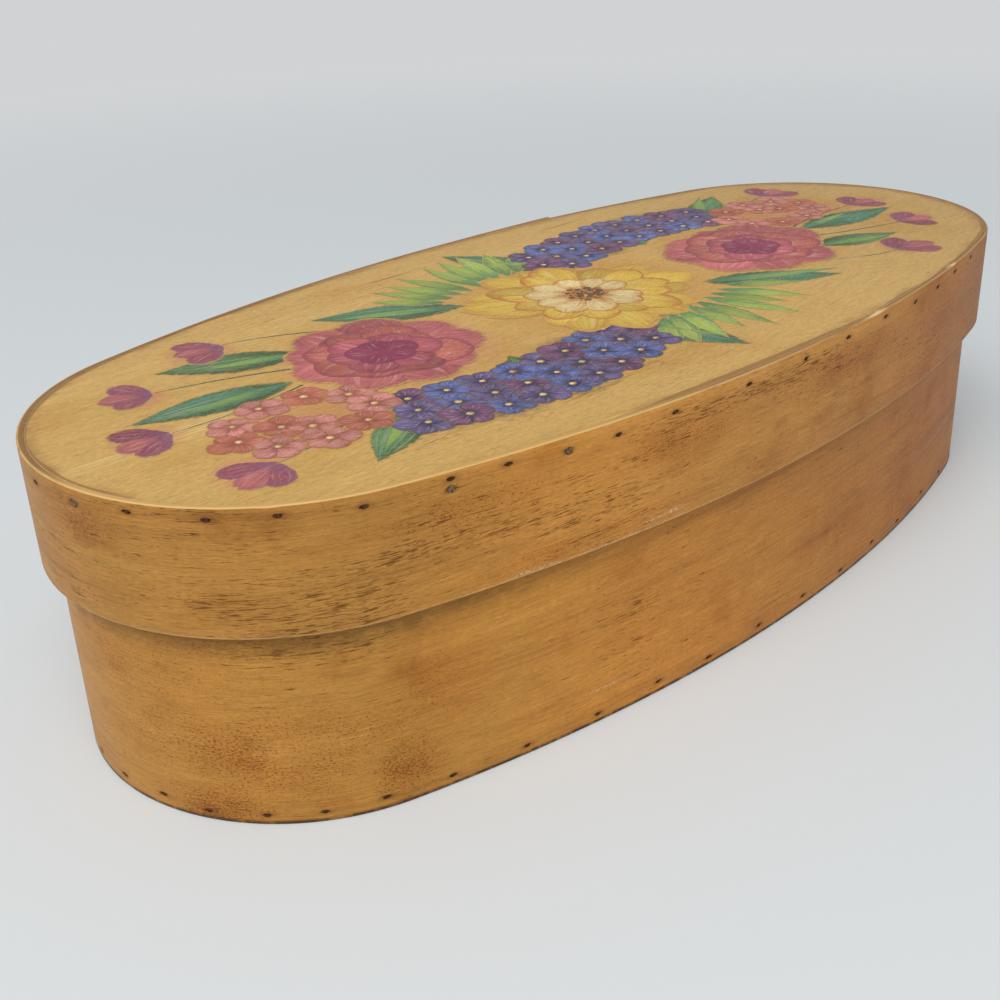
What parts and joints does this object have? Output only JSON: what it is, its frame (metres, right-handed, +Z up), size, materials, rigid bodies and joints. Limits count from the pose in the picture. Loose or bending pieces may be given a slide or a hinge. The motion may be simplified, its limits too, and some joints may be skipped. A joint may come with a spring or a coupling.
{
  "type": "oval bentwood box",
  "caption": "Oval lidded box of thin bent wood, with nailed boards for its bottom and lid; the lid lifts off straight up.",
  "frame": {"origin": "centre of the underside, on the surface that the box stands on", "axes": "+X along the length, +Y towards the lapped back, +Z up, the way the lid lifts"},
  "size_m": [0.4, 0.18, 0.096],
  "materials": {
    "band_wood": "satin varnish over orange-brown open-grained wood",
    "lid_wood": "satin varnish over honey-coloured wood, with a painted design",
    "board_wood": "bare sawn wood",
    "nail_iron": "dark rusted heads",
    "tack_iron": "dark hammered heads",
    "wire_steel": "worn grey steel"
  },
  "bodies": {
    "box": {"box_band": "band_wood", "bottom_board": "board_wood", "bottom_nails": "nail_iron", "box_lap_tacks": "tack_iron"},
    "lid": {"lid_band": "band_wood", "lid_board": "lid_wood", "lid_nails": "nail_iron", "lid_wire_nails": "wire_steel", "lid_lap_tacks": "tack_iron"}
  },
  "joints": [
    {"name": "lid_lift", "type": "slide", "parent": "box", "child": "lid", "axis": [0, 0, 1], "range_m": [0, 0.12]}
  ]
}
